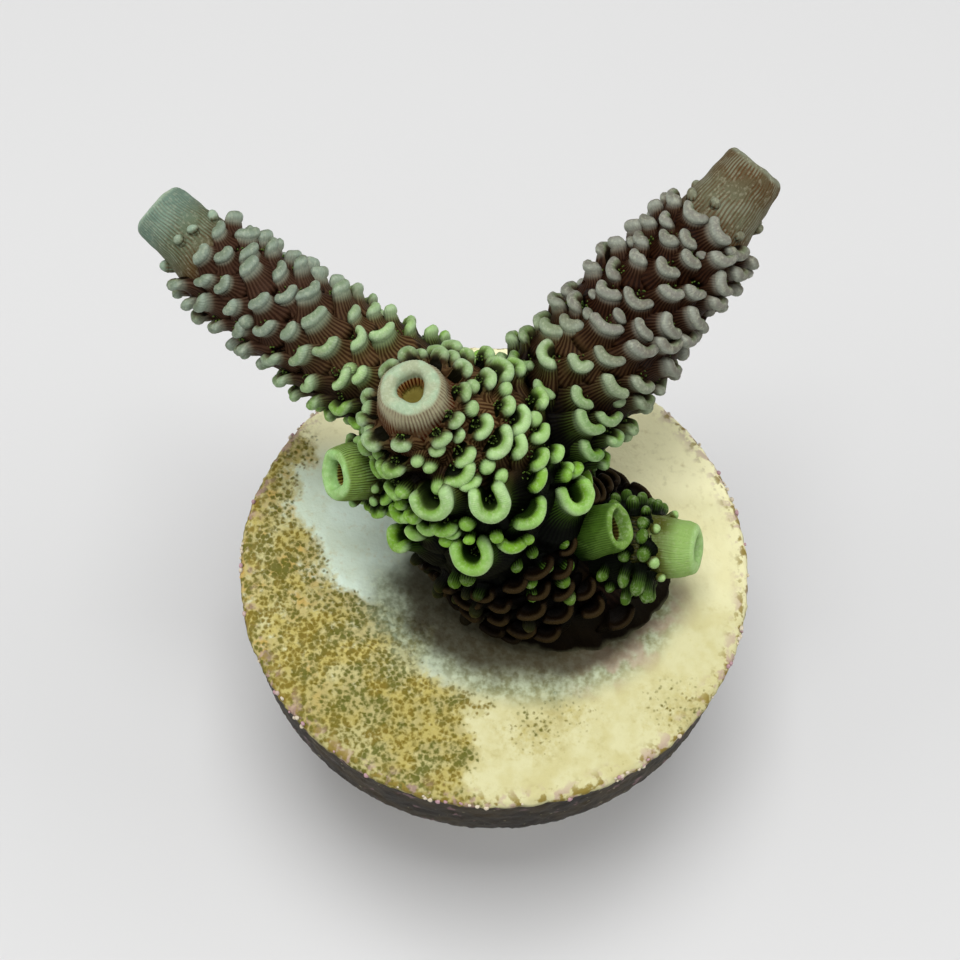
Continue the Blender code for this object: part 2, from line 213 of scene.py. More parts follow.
# The spacing of a cup's ribs and of the points round its wall, in mm. Past a quarter turn a wall bends only
# this share as much, for a horseshoe's straight arms, and a lip is this many half thicknesses high.
RIB_PITCH = 0.2
CUP_STEP = 0.085
CURL = 0.2
DOME = 1.3
# Points round a knob, and the width in mm below which a corallite is one. Slim knobs low down: their width
# and height in mm, how far they hang, as a share of their height, and the share of the trunk's that stay.
KNOB_COLUMNS = 14
KNOB_WIDTH = 0.82
SLIM_WIDTH = 0.68
SLIM_HEIGHT = 1.2
SLIM_FALL = 0.45
SLIM_SHARE = 0.6
# Buds round each tip.
BUDS = 7
# The brown scales round the coral's foot: rows this far up the trunk, and how many stand in each.
SCALE_ROWS = (2.2, 3.1, 4.0, 4.9, 5.8, 6.6)
SCALES_ROUND = 15
SCALE_WALL = 0.32
# The small polyps, in mm: the cups over this width that hold one, and its tentacles.
POLYP_WIDTH = 1.1
TENTACLES = 8
TENTACLE_LENGTH = 0.2
TENTACLE_RADIUS = 0.032

# The plug's outline in mm: the stem's radius at its foot and top, the disc's underside, the disc's radius
# above it and below the rim, and the rim's round. The points in a ring, and the crumbs on the rim.
STEM_FOOT, STEM_TOP = 5.05, 5.58
UNDERSIDE = -5.0
SIDE_FOOT, SIDE_TOP = 12.22, 12.42
RIM_ROUND = 0.5
PLUG_COLUMNS = 480
CRUMBS = 110
# The edge of the algae on the plug's top: its x at the front, and how far it steps left between two values
# of y, in mm. Stains on the clean part, as (x, y).
TURF_EDGE = -0.6
TURF_STEPS = ((2.2, -8, -5), (5.5, -4, -1), (1.6, -1, 3))
STAINS = ((2.4, -8.8), (3.4, -7.6), (9.1, -7.2))
# The tissue's colours change with distance in mm from the colony's heart, where walls and hollows are near
# black with painted shade.
HEART = (-0.5, 0.0, 7.0)

# ---- meshes

# What a material reads at each point: the share of a wall's height, how far inside the wall it is, its
# corallite's tone, how near a limb's end it is, and how far from the heart and above the plug, in mm.
VALUES = ("height", "inner", "tone", "tip", "away", "above")


def add_object(name, data):
    thing = bpy.data.objects.new(name, data)
    bpy.context.scene.collection.objects.link(thing)
    return thing


def circle(columns):
    """The angles of points evenly round a ring."""
    return np.arange(columns) * 2 * math.pi / columns


class Skin:
    """Closed tubes gathered into one mesh, with the numbers that its material reads at each point."""

    def __init__(self):
        self.points, self.faces, self.ribs, self.values, self.count = [], [], [], {}, 0

    def tube(self, rings, rib=0.0, ribs_round=0, **values):
        """Joins rings (a rows x columns x 3 array, in mm) into a tube closed at both ends."""
        rows, columns = rings.shape[:2]
        index = self.count + np.arange(rows * columns).reshape(rows, columns)
        a, b = index[:-1], index[1:]
        quads = np.stack([a, np.roll(a, -1, 1), np.roll(b, -1, 1), b], -1).reshape(-1, 4)
        self.faces += quads.tolist() + [index[0, ::-1].tolist(), index[-1].tolist()]
        self.points.append(rings.reshape(-1, 3))
        rib = np.broadcast_to(rib, (rows, columns))
        after = np.roll(rib, -1, 1)
        after[:, -1] += ribs_round
        self.ribs.append(np.stack([rib[:-1], after[:-1], after[1:], rib[1:]], -1).reshape(-1))
        self.ribs.append(np.zeros(2 * columns))
        values.update(away=np.linalg.norm(rings - np.array(HEART), axis=-1), above=rings[..., 2])
        for name in VALUES:
            value = np.broadcast_to(values.get(name, 0.0), (rows, columns)).reshape(-1)
            self.values.setdefault(name, []).append(value)
        self.count += rows * columns

    def finish(self, name, material, nodes=()):
        points = np.concatenate(self.points) * MM + (0, 0, PLUG_TOP)
        mesh = bpy.data.meshes.new(name)
        mesh.from_pydata(points.tolist(), [], self.faces)
        for value, numbers in {**self.values, "rib": self.ribs}.items():
            layer = mesh.attributes.new(value, "FLOAT", "CORNER" if value == "rib" else "POINT")
            layer.data.foreach_set("value", np.concatenate(numbers).astype(np.float32))
        mesh.shade_smooth()
        mesh.materials.append(material)
        piece = add_object(name, mesh)
        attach(piece, "root")
        if nodes:
            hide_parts(*nodes)


def smooth_step(low, high, value):
    share = np.clip((value - low) / (high - low), 0, 1)
    return share * share * (3 - 2 * share)


def uneven(points, size):
    """Smooth irregular numbers from -1 to 1 over an array of points, in lumps about this many mm across."""
    x, y, z = np.moveaxis(points * math.pi / size, -1, 0)
    first = np.sin(x + 1.7 * np.sin(0.9 * y + 2.0) + 0.4 * z)
    second = np.sin(1.1 * y + 1.6 * np.sin(0.8 * z) - 0.5 * x)
    third = np.sin(0.9 * z + 1.5 * np.sin(1.2 * x + 1.0) + 0.3 * y)
    return (first + second + third) / 3


def warped(points, lumps):
    """Points moved about a little, by lumps of these sizes and depths in mm."""
    for size, depth in lumps:
        points = points + depth * np.stack([uneven(points + shift, size) for shift in (0.0, 31.7, 57.3)], -1)
    return points


# ---- paths and places


def spline(points, t):
    """The Catmull-Rom curve through (x, y, z, radius) points, at t from 0 to 1."""
    spans = len(points) - 1
    span = min(int(t * spans), spans - 1)
    u = t * spans - span
    ends = [points[min(max(span + k, 0), spans)] for k in (-1, 0, 1, 2)]
    a, b, c, d = (Vector(p) for p in ends)
    return b + 0.5 * u * (c - a + u * (2 * a - 5 * b + 4 * c - d + u * (3 * (b - c) + d - a)))


class Path:
    """A limb's centre line, measured along its length in mm."""

    def __init__(self, limb):
        self.samples = [spline(limb["path"], k / PATH_SAMPLES) for k in range(PATH_SAMPLES + 1)]
        self.marks = [0.0]
        for a, b in zip(self.samples, self.samples[1:]):
            self.marks.append(self.marks[-1] + (b - a).to_3d().length)
        self.length = self.marks[-1]
        self.reference = Vector(limb.get("face", (0.0, 0.0, 1.0)))
        foot = limb.get("foot", {"oval": 1.0, "until": 1.0})
        self.flare, self.flare_end = foot["oval"] - 1.0, foot["until"]

    def oval_at(self, s):
        """How much longer the section is across the face than along it, at distance s."""
        return 1.0 + self.flare * max(0.0, 1.0 - s / self.flare_end) ** 2

    def at(self, s):
        """(centre, radius, tangent, normal, side) at distance s."""
        k = 0
        while k < PATH_SAMPLES - 1 and self.marks[k + 1] < s:
            k += 1
        share = (s - self.marks[k]) / (self.marks[k + 1] - self.marks[k])
        here = self.samples[k].lerp(self.samples[k + 1], share)
        low, high = self.samples[max(k - 1, 0)], self.samples[min(k + 2, PATH_SAMPLES)]
        tangent = (high - low).to_3d().normalized()
        normal = (self.reference - self.reference.dot(tangent) * tangent).normalized()
        return here.to_3d(), here.w, tangent, normal, tangent.cross(normal)

    def clearance(self, point):
        """How far a point lies outside the tube round this path."""
        return min((point - sample.to_3d()).length - sample.w for sample in self.samples)


PATHS = {name: Path(limb) for name, limb in LIMBS.items()}


def wobble(name, row, column, salt):
    """A fixed irregular number from -1 to 1 for one corallite."""
    seed = math.sin(len(name) * 3.7 + row * 12.9898 + column * 78.233 + salt * 37.719) * 43758.5453
    return 2 * (seed - math.floor(seed)) - 1


def sprout(name, s, angle, height, lean=LEAN, sway=0.0, fall=0.0):
    """Where a corallite of this height stands on a limb, shortened to fit, or None where there is no room."""
    path = PATHS[name]
    centre, radius, tangent, normal, side = path.at(s)
    out = math.cos(angle) * normal + math.sin(angle) * side
    foot = centre + radius * (math.cos(angle) * normal + path.oval_at(s) * math.sin(angle) * side)
    others = [PATHS[other] for other in LIMBS if other != name]
    if min(other.clearance(foot) for other in others) < LEAST_CLEAR:
        return None
    rise = out + lean * tangent + sway * tangent.cross(out) - Vector((0, 0, fall))
    for share in SHORTER_TRIES:
        top = foot + rise * height * share
        nearest = min(other.clearance(top) for other in others)
        if nearest > path.clearance(top) + BISECTOR_MARGIN and top.z > BISECTOR_MARGIN:
            return {"foot": foot, "top": top, "tangent": tangent, "s": s}
    return None


# ---- coral


def limb_body(skin, name):
    """The skin of one limb, its rounded rim, and its mouth with septa down to the floor."""
    path, tip = PATHS[name], LIMBS[name]["tip"]
    end, mouth, depth, bare = path.length, tip["mouth"], tip["depth"], tip["bare"]
    turn = circle(BODY_COLUMNS)
    ribs = np.cos(RIBS * turn)
    lobes = mouth * (1 + 0.1 * np.cos(3 * turn + len(name)) + 0.05 * np.cos(2 * turn))
    end_radius = path.at(end)[1]
    rings, values = [], []

    def ring(s, radius, height, tip, inner=0.0):
        centre, _, _, normal, side = path.at(min(s, end))
        centre, normal, side = (np.array(v) for v in (centre, normal, side))
        out = np.cos(turn)[:, None] * normal + path.oval_at(s) * np.sin(turn)[:, None] * side
        rings.append(centre + radius[:, None] * out)
        values.append((height, inner, tip))

    along = [np.arange(0, end - bare, RING_STEP), np.arange(end - bare, end - RIM_HEIGHT, TIP_STEP)]
    for s in np.concatenate(along):
        near_tip = float(np.clip((s - end + bare + BLEND) / (bare + BLEND - RIM_HEIGHT), 0, 1))
        swell = tip["swell"] * float(smooth_step(0, 3, s) * smooth_step(end - 0.8, end - bare - 2, s))
        radius = path.at(s)[1] + swell + RIB_DEPTH * math.sqrt(near_tip) * ribs
        ring(s, radius, 0.0, near_tip)
        ragged = RAGGED * max(0.0, 1 - s / RAGGED_LENGTH) if name == "trunk" else 0.0
        (wide, deep), (narrow, shallow) = LIMB_LUMPS
        rings[-1] = warped(rings[-1], ((wide, deep * (1 - 0.6 * near_tip)), (narrow, shallow + ragged)))
    middle, half = (end_radius + lobes) / 2, (end_radius - lobes) / 2
    for arch in np.linspace(0, math.pi, 13)[1:]:
        ribbed = RIB_DEPTH * ribs * max(0.0, math.cos(arch))
        height = math.sin(arch) if arch < math.pi / 2 else 1.0
        rise = RIM_HEIGHT * (1 - math.sin(arch) ** 0.8)
        ring(end - rise, middle + half * math.cos(arch) + ribbed, height, 1.0)
        rings[-1] = warped(rings[-1], RIM_LUMPS)
    for sink in np.linspace(0, 1, 11)[1:]:
        septa = np.clip(np.cos(SEPTA * turn), 0, 1) ** 2
        radius = lobes * (1 - 0.18 * sink) - SEPTA_DEPTH * septa * min(1.0, 2.5 * sink)
        ring(end - RIM_HEIGHT - (depth - RIM_HEIGHT) * sink, radius, 1 - sink, 1.0, 1.0)
    for share in (0.6, 0.3, 0.08):
        ring(end - depth, lobes * 0.7 * share, 0.0, 1.0, 1.0)
    heights, inners, tips = np.array(values).T[..., None]
    ribs_round = np.where(inners > 0, SEPTA, RIBS)
    rib = ribs_round * turn / (2 * math.pi)
    skin.tube(np.array(rings), rib, ribs_round[:, 0], height=heights, inner=inners, tip=tips)


def axes(shape, twist=0.0):
    """(foot, up, tipward, around) of a corallite as arrays, and its height."""
    foot, rise = np.array(shape["foot"]), np.array(shape["top"] - shape["foot"])
    height = np.linalg.norm(rise)
    up = rise / height
    tipward = np.array(shape["tangent"]) - np.dot(shape["tangent"], up) * up
    tipward /= np.linalg.norm(tipward)
    turned = math.cos(twist) * tipward - math.sin(twist) * np.cross(tipward, up)
    return foot, up, turned, np.cross(turned, up), height


def cup(skin, shape, width, wall, half_turn, twist, tone):
    """A corallite's wall, curved about its mouth: flared foot, then a thick lip with rounded ends."""
    foot, up, tipward, around, height = axes(shape, math.radians(twist))
    spread = math.radians(half_turn)
    half = min(wall, 0.6 * width) / 2
    closed = min(spread / (math.pi / 2), 1.0) ** 4
    radius = (width - 2 * half * closed) / (2 * math.sin(min(spread, math.pi / 2)))
    steps = int(np.clip(2 * radius * spread / CUP_STEP, 19, 60))
    share = np.linspace(-1, 1, steps)
    share += 0.15 * np.sin(math.pi * share)
    turn = spread * share
    heading = turn - np.sign(turn) * (1 - CURL) * np.maximum(abs(turn) - math.pi / 2, 0)
    strides, headings = radius * np.diff(turn), (heading[1:] + heading[:-1]) / 2
    wide = np.concatenate([[0], np.cumsum(strides * np.cos(headings))])
    deep = np.concatenate([[0], np.cumsum(strides * np.sin(headings))])
    wide, deep = wide - wide[steps // 2], deep - deep[steps // 2]
    past = np.clip((abs(share) * radius * spread - radius * spread + half) / half, 0, 1)
    slim = np.sqrt(1 - 0.99 * past**2)
    droop = 0.1 * (1 - closed) + 0.08
    crest = height * (1 - droop * share**2) - 0.8 * half * (1 - slim)
    dome = DOME * half
    shares, across, over, flares, inner = (np.array(column, float) for column in zip(*SECTION))
    z = shares * (crest - dome)[:, None] + over * (dome * slim)[:, None]
    grow = 0.8 + 0.2 * np.clip(z / height, 0, 1)
    bowl = 0.8 * max(width / 2 - half * (1 + closed), 0.05)
    room = np.where(inner > 0, -bowl, height)
    thick = (across * half + flares * room) * slim[:, None]
    out = np.sin(heading)[:, None, None] * around - np.cos(heading)[:, None, None] * tipward
    points = foot + z[..., None] * up + (deep[:, None] * grow)[..., None] * tipward
    points = points + (wide[:, None] * grow)[..., None] * around + thick[..., None] * out
    rib = (turn * (radius + half) / RIB_PITCH)[:, None]
    heights = np.clip(z / height, 0, 1)
    skin.tube(warped(points, CUP_LUMPS), rib=rib, height=heights, inner=inner + np.zeros_like(z), tone=tone)
    return foot + 0.35 * height * up + (0.5 * radius + 0.2) * tipward, up


def knob(skin, shape, width, tone, tip=0.0, flare=1.0, root=0.1):
    """A small round-topped knob, sunk into the limb by its root."""
    foot, up, tipward, around, height = axes(shape)
    radius = width / 2
    turn = circle(KNOB_COLUMNS)
    straight = max(height - 1.2 * radius, 0.1)
    profile = [(-root, radius * (1 + 0.7 * flare)), (0.0, radius * (1 + 0.4 * flare))]
    profile += [(0.25 * straight, radius * (1 + 0.05 * flare)), (0.6 * straight, 0.93 * radius)]
    for angle in np.radians([-20, 5, 28, 50, 70, 86]):
        profile.append((straight + 1.2 * radius * math.sin(angle), radius * math.cos(angle) + 0.01))
    out = np.cos(turn)[:, None] * around + 0.85 * np.sin(turn)[:, None] * tipward
    rings = warped(np.array([foot + z * up + r * out for z, r in profile]), KNOB_LUMPS)
    heights = np.array([[np.clip(z / height, 0, 1)] for z, _ in profile])
    ribs_round = 2 * round(math.pi * radius / RIB_PITCH)
    rib = ribs_round * turn / (2 * math.pi)
    skin.tube(rings, rib=rib, ribs_round=ribs_round, height=heights, tone=tone, tip=tip, inner=0.3)


def polyp(skin, centre, up, seed):
    """A ring of short tentacles deep in a cup's mouth."""
    side = np.cross(up, (0.3, 0.9, 0.2))
    side /= np.linalg.norm(side)
    other = np.cross(up, side)
    around = circle(5)
    for k in range(TENTACLES):
        turn = 2 * math.pi * (k + 0.4 * math.sin(seed * 7.1 + k * 3.3)) / TENTACLES
        out = math.cos(turn) * side + math.sin(turn) * other
        length = TENTACLE_LENGTH * (0.9 + 0.4 * math.sin(seed * 5.7 + k * 2.9))
        across = np.cross(up, out)
        rings = []
        for share, thick in ((0.0, 1.0), (0.5, 0.9), (0.8, 1.7), (1.0, 0.9)):
            middle = centre + out * (0.07 + 0.13 * share) + up * length * math.sin(1.9 * share)
            cross = np.cos(around)[:, None] * across + np.sin(around)[:, None] * up
            rings.append(middle + TENTACLE_RADIUS * thick * cross)
        skin.tube(np.array(rings), height=np.array([[0.0], [0.3], [0.8], [1.0]]))


def is_slim(name, foot):
    """Whether corallites here are slim: on the low branch, and on the trunk near it and low in front."""
    near_branch = foot.x > 2.0 and foot.y < 2.0 and foot.z < 6.5
    low_in_front = foot.y < -1.0 and foot.z < 7.4
    return name == "low_branch" or (name == "trunk" and (near_branch or low_in_front))


def crowded(shape, others):
    """Whether a corallite would stand on one of the notable ones."""
    return any((shape["foot"] - other["middle"]).length < other["reach"] for other in others)


def notable_corallites(skin, polyps):
    """The trunk's listed corallites. Returns the middle of each and how far it reaches."""
    placed = []
    for k, (s, degrees, width, height, half_turn, twist) in enumerate(NOTABLE):
        shape = sprout("trunk", s, math.radians(degrees), height)
        if half_turn:
            tone = 0.8 if half_turn > 90 else 0.5 + 0.4 * wobble("notable", k, 0, 6)
            wall = RUNS["trunk"]["wall"] * (1.08 if half_turn > 90 else 1)
            mouth = cup(skin, shape, width, wall, half_turn, twist, tone)
            polyp(polyps, *mouth, seed=k)
            reach = 0.62 * width if half_turn > 90 else 0.3 + 0.32 * width
            placed.append({"middle": shape["foot"] + 0.3 * width * shape["tangent"], "reach": reach})
        else:
            knob(skin, shape, width, 0.4)
            placed.append({"middle": shape["foot"], "reach": 0.3 + 0.4 * width})
    return placed


def general_corallites(skin, polyps, name, placed):
    """The run of corallites up a limb, in a loose checkerboard with smaller ones in some of its gaps."""
    run, path = RUNS[name], PATHS[name]
    s, row = run["first"], 0
    while s < run["last"]:
        spacing = 2 * math.pi * path.at(s)[1] / run["columns"]
        share = (s - run["first"]) / (run["last"] - run["first"])
        widest, highest = (a + (b - a) * share for a, b in (run["width"], run["height"]))
        for column in range(2 * run["columns"]):
            draws = (wobble(name, row, column, salt) for salt in range(1, 11))
            up, across, wide, high, sway, lean, tone, kept, bend, twist = draws
            gap = (row + column) % 2
            fill = run["fill"] if gap else 1
            place = s + spacing * PLACE_VARIES * up
            angle = (column + 0.5 + 2 * PLACE_VARIES * across) * math.pi / run["columns"]
            width = widest * (1 + SIZE_VARIES * wide) * fill
            height = highest * (1 + SIZE_VARIES * high) * fill
            sway, tone = SWAY * sway, 0.5 + 0.5 * tone
            shape = sprout(name, place, angle, height, LEAN * (1 + 0.3 * lean), sway)
            if shape is None or crowded(shape, placed):
                continue
            if is_slim(name, shape["foot"]):
                taller = SLIM_HEIGHT * (0.75 + 0.4 * tone) * (0.75 if name == "trunk" else 1)
                shape = sprout(name, place, angle, taller, 0.1, sway, SLIM_FALL)
                if shape and (name != "trunk" or kept < 2 * SLIM_SHARE - 1):
                    knob(skin, shape, SLIM_WIDTH * (0.8 + 0.35 * tone), -0.2)
            elif gap and kept > 2 * run["filled"] - 1:
                continue
            elif width < KNOB_WIDTH:
                knob(skin, shape, width, tone)
            else:
                least, most = run["turn"]
                half_turn = least + (most - least) * (0.5 + 0.5 * bend)
                turned = run["twist"] + TWIST_VARIES * twist
                mouth = cup(skin, shape, width, run["wall"], half_turn, turned, tone)
                if share < 0.85 and width > POLYP_WIDTH:
                    polyp(polyps, *mouth, seed=row * 3.7 + column * 1.3)
        s += run["pitch"] * spacing
        row += 1


def buds(skin, name):
    """Young corallites that hardly stand out, on the wall below a limb's tip."""
    path, bare = PATHS[name], LIMBS[name]["tip"]["bare"]
    for k in range(BUDS):
        down, across, wide = (wobble(name, k, draw, 11) for draw in range(3))
        angle = 2 * math.pi * (k + 0.35 * across) / BUDS
        shape = sprout(name, path.length - bare * (0.82 + 0.16 * down), angle, 0.26, 1.2)
        if shape:
            knob(skin, shape, 0.56 + 0.12 * wide, 0.3, tip=0.45, flare=0.0, root=0.6)


def foot_scales(skin, placed):
    """Low brown corallites that overlap like scales round the coral's foot."""
    for row, s in enumerate(SCALE_ROWS):
        for column in range(SCALES_ROUND):
            across, up, high, wide, bend = (wobble("foot", row, column, salt) for salt in range(12, 17))
            angle = 2 * math.pi * (column + 0.5 * (row % 2) + 0.25 * across) / SCALES_ROUND
            shape = sprout("trunk", s + 0.2 * up, angle, 0.8 + 0.12 * high, 0.4)
            if shape and shape["foot"].z > 0.8 and not crowded(shape, placed):
                cup(skin, shape, 1.6 + 0.3 * wide, SCALE_WALL, 74 + 16 * bend, twist=0, tone=-1.0)


def coral():
    polyps = Skin()
    for name in LIMBS:
        body = Skin()
        limb_body(body, name)
        material = tissue(name)
        body.finish(name + "_skin", material, nodes=[name])
        if name in RUNS:
            skin = Skin()
            placed = notable_corallites(skin, polyps) if name == "trunk" else []
            general_corallites(skin, polyps, name, placed)
            if name == "trunk":
                foot_scales(skin, placed)
            else:
                buds(skin, name)
            skin.finish(name + "_corallites", material)
    polyps.finish("polyps", polyp_tissue())


# ---- plug


def turf_share(x, y):
    """How thickly algae grow at a place on the plug's top, from 0 to 1."""
    spot = Vector((x, y, 0.0))
    ragged = 1.3 * noise.noise(spot * 0.6) + 0.5 * noise.noise(spot * 1.7)
    edge = TURF_EDGE - sum(left * smooth_step(low, high, y) for left, low, high in TURF_STEPS)
    stain = max(0.5 * math.exp(-(((x - u) / 1.7) ** 2) - ((y - v) / 1.4) ** 2) for u, v in STAINS)
    return max(float(smooth_step(-1.0, 1.2, edge - x + ragged)), stain)


def straight(start, end, steps):
    """Points after start, up to end, on a straight line of (radius, height) points."""
    (r, z), (to_r, to_z) = start, end
    return [(r + (to_r - r) * k / steps, z + (to_z - z) * k / steps) for k in range(1, steps + 1)]


def plug_profile(disc, bottom):
    """The plug's outline as (radius, height) in mm: stem, underside, rim and top."""
    outline = [(0.05, bottom), (2.0, bottom), (4.0, bottom), (4.5, bottom), (5.0, bottom + 0.3)]
    outline += [(STEM_FOOT, bottom + 0.8)]
    outline += straight(outline[-1], (STEM_TOP, bottom + 11.4), 20)
    outline += [(5.75, UNDERSIDE - 0.1), (6.1, UNDERSIDE)]
    outline += straight(outline[-1], (11.6, UNDERSIDE), 12)
    outline += [(11.9, -4.92), (12.15, -4.7), (SIDE_FOOT, -4.4)]
    outline += straight(outline[-1], (SIDE_TOP, -RIM_ROUND), 20)
    for angle in np.radians([18, 36, 54, 72, 90]):
        inward = disc - 0.08 - RIM_ROUND * (1 - math.cos(angle))
        outline.append((inward, RIM_ROUND * (math.sin(angle) - 1)))
    return outline + [(r, 0.0) for r in np.arange(disc - 0.7, 0.1, -0.1)] + [(0.04, 0.0)]


def plug_skin():
    """The plug's disc and stem, with grains of algae on top and a crusted rim."""
    disc, bottom = DISC_RADIUS / MM, -PLUG_TOP / MM
    rings, turfs = [], []
    for radius, z in plug_profile(disc, bottom):
        row, turf_row = [], []
        for angle in circle(PLUG_COLUMNS):
            x, y = radius * math.cos(angle), radius * math.sin(angle)
            turf = turf_share(x, y) if z > -0.6 else 0.0
            place = Vector((x, y, z))
            if z > -0.01:
                edge = 1 - smooth_step(disc - 0.9, disc - 0.55, radius)
                grain = noise.noise(place * 2.6) + 0.8 * noise.noise(place * 5.2)
                lift = (0.02 + 0.12 * turf) * edge * grain + 0.03 * noise.noise(place * 0.8) - 0.03
                row.append((x, y, min(z + lift, 0.12)))
            else:
                crust = 0.06 * noise.noise(place * 1.6) + 0.06 * noise.noise(place * 4.0)
                keep = 1 + (crust if z > -4.9 and radius > 11 else 0.3 * crust) / radius
                row.append((x * keep, y * keep, z) if z > bottom + 0.01 else (x, y, z))
            turf_row.append(turf)
        rings.append(row)
        turfs.append(turf_row)
    skin = Skin()
    skin.tube(np.array(rings), tone=np.array(turfs))
    skin.finish("plug_skin", plug_ceramic(), nodes=["frag_plug"])


def rim_crumbs():
    """Tiny pale crumbs of crust along the disc's edge, in loose clusters."""
    skin = Skin()
    disc = DISC_RADIUS / MM
    turn = circle(8)
    for k in range(CRUMBS):
        angle = 2 * math.pi * (k + 4.0 * math.sin(k * 0.51) + 0.6 * math.sin(k * 5.1)) / CRUMBS
        size = 0.06 + 0.07 * (0.5 + 0.5 * math.sin(k * 9.7))
        level = -0.22 + 0.16 * math.sin(k * 3.3)
        out = np.array((math.cos(angle), math.sin(angle), 0.0))
        across = np.cross(out, (0, 0, 1.0))
        centre = (disc - 0.1 - 0.3 * max(0.0, level + 0.3)) * out + np.array((0, 0, level))
        lump = size * (1 + 0.25 * np.sin(3 * turn + k))
        rings = []
        for lift in np.radians([-70, -35, 0, 35, 70]):
            ring = np.cos(turn)[:, None] * across - np.sin(turn)[:, None] * np.array((0, 0, 1.0))
            rings.append(centre + 0.8 * size * math.sin(lift) * out + (math.cos(lift) * lump)[:, None] * ring)
        skin.tube(np.array(rings), tone=0.5 + 0.5 * math.sin(k * 1.9))
    skin.finish("rim_crumbs", crumb_material())


# ---- materials


def linear(red, green, blue):
    """A linear colour from 0 to 255 screen values."""
    return tuple((max(c, 1) / 255) ** 2.2 for c in (red, green, blue)) + (1.0,)


class Shader:
    """A Principled material under construction. Its methods add a node and return that node's output.

    A colour given to one is such an output, or red, green and blue as screen values from 0 to 255.
    """

    def __init__(self, name, roughness, subsurface=0.0, shine=0.2):
        self.material = bpy.data.materials.new(name)
        self.material.use_nodes = True
        self.nodes, self.links = self.material.node_tree.nodes, self.material.node_tree.links
        self.surface = self.nodes["Principled BSDF"].inputs
        self.give(self.surface, {"Roughness": roughness, "Specular IOR Level": shine})
        self.give(self.surface, {"Subsurface Weight": subsurface, "Subsurface Scale": 0.25 * MM})
        self.give(self.surface, {"Subsurface Radius": (1.0, 1.0, 0.7)})
        self.place = self.node("TexCoord", {}, "Object")

    def give(self, inputs, values):
        """Sets each input, or links it where its value is a node's output."""
        for key, value in values.items():
            if isinstance(value, (int, float, tuple)):
                inputs[key].default_value = value
            else:
                self.links.new(value, inputs[key])

    def node(self, kind, values, output=0, **settings):
        node = self.nodes.new("ShaderNode" + kind)
        for setting, value in settings.items():
            setattr(node, setting, value)
        self.give(node.inputs, values)
        return node.outputs[output]

    def value(self, name):
        return self.node("Attribute", {}, "Fac", attribute_name=name)

    def math(self, operation, first, second=0.0):
        return self.node("Math", {0: first, 1: second}, operation=operation)

    def add(self, first, second):
        return self.math("ADD", first, second)

    def less(self, first, second):
        return self.math("SUBTRACT", first, second)

    def product(self, first, *others):
        for other in others:
            first = self.math("MULTIPLY", first, other)
        return first

    def step(self, low, high, value):
        """0 below low and 1 above high, or the other way round where low is the larger."""
        start = float(low > high)
        values = {"Value": value, "From Min": min(low, high), "From Max": max(low, high)}
        values.update({"To Min": start, "To Max": 1 - start})
        return self.node("MapRange", values, "Result", interpolation_type="SMOOTHSTEP")

    def mix(self, share, first, second):
        first, second = (linear(*c) if isinstance(c, tuple) else c for c in (first, second))
        return self.node("Mix", {0: share, 6: first, 7: second}, 2, data_type="RGBA")

    def coats(self, colour, *layers):
        """A colour under others, each given as the share that it covers and itself."""
        for share, over in layers:
            colour = self.mix(share, colour, over)
        return colour

    def noise(self, size, detail=2.0, shift=0.0):
        """Noise from 0 to 1 whose lumps are about this many mm across."""
        values = {"Vector": self.place, "W": shift, "Scale": 1 / (size * MM), "Detail": detail}
        return self.node("TexNoise", values, "Fac", noise_dimensions="4D")

    def swing(self, noise, size):
        """Noise drawn out to swing by half this size to either side of 0."""
        return self.product(self.less(noise, 0.5), size)

    def dots(self, size, shift):
        """The distance to the middle of a ragged cell, in cells about this many mm across."""
        values = {0: shift, 1: (0.35 * size * MM,) * 3, 2: self.place}
        shaken = self.node("VectorMath", values, operation="MULTIPLY_ADD")
        return self.node("TexVoronoi", {"Vector": shaken, "Scale": 1 / (size * MM)}, "Distance")

    def across(self):
        """The place's x and y in mm."""
        x, y = (self.node("SeparateXYZ", {0: self.place}, axis) for axis in "XY")
        return self.product(x, 1 / MM), self.product(y, 1 / MM)

    def bump(self, height, distance, strength):
        values = {"Height": height, "Distance": distance * MM, "Strength": strength}
        self.give(self.surface, {"Normal": self.node("Bump", values, "Normal")})

    def colour(self, value):
        self.give(self.surface, {"Base Color": value})
        return self.material
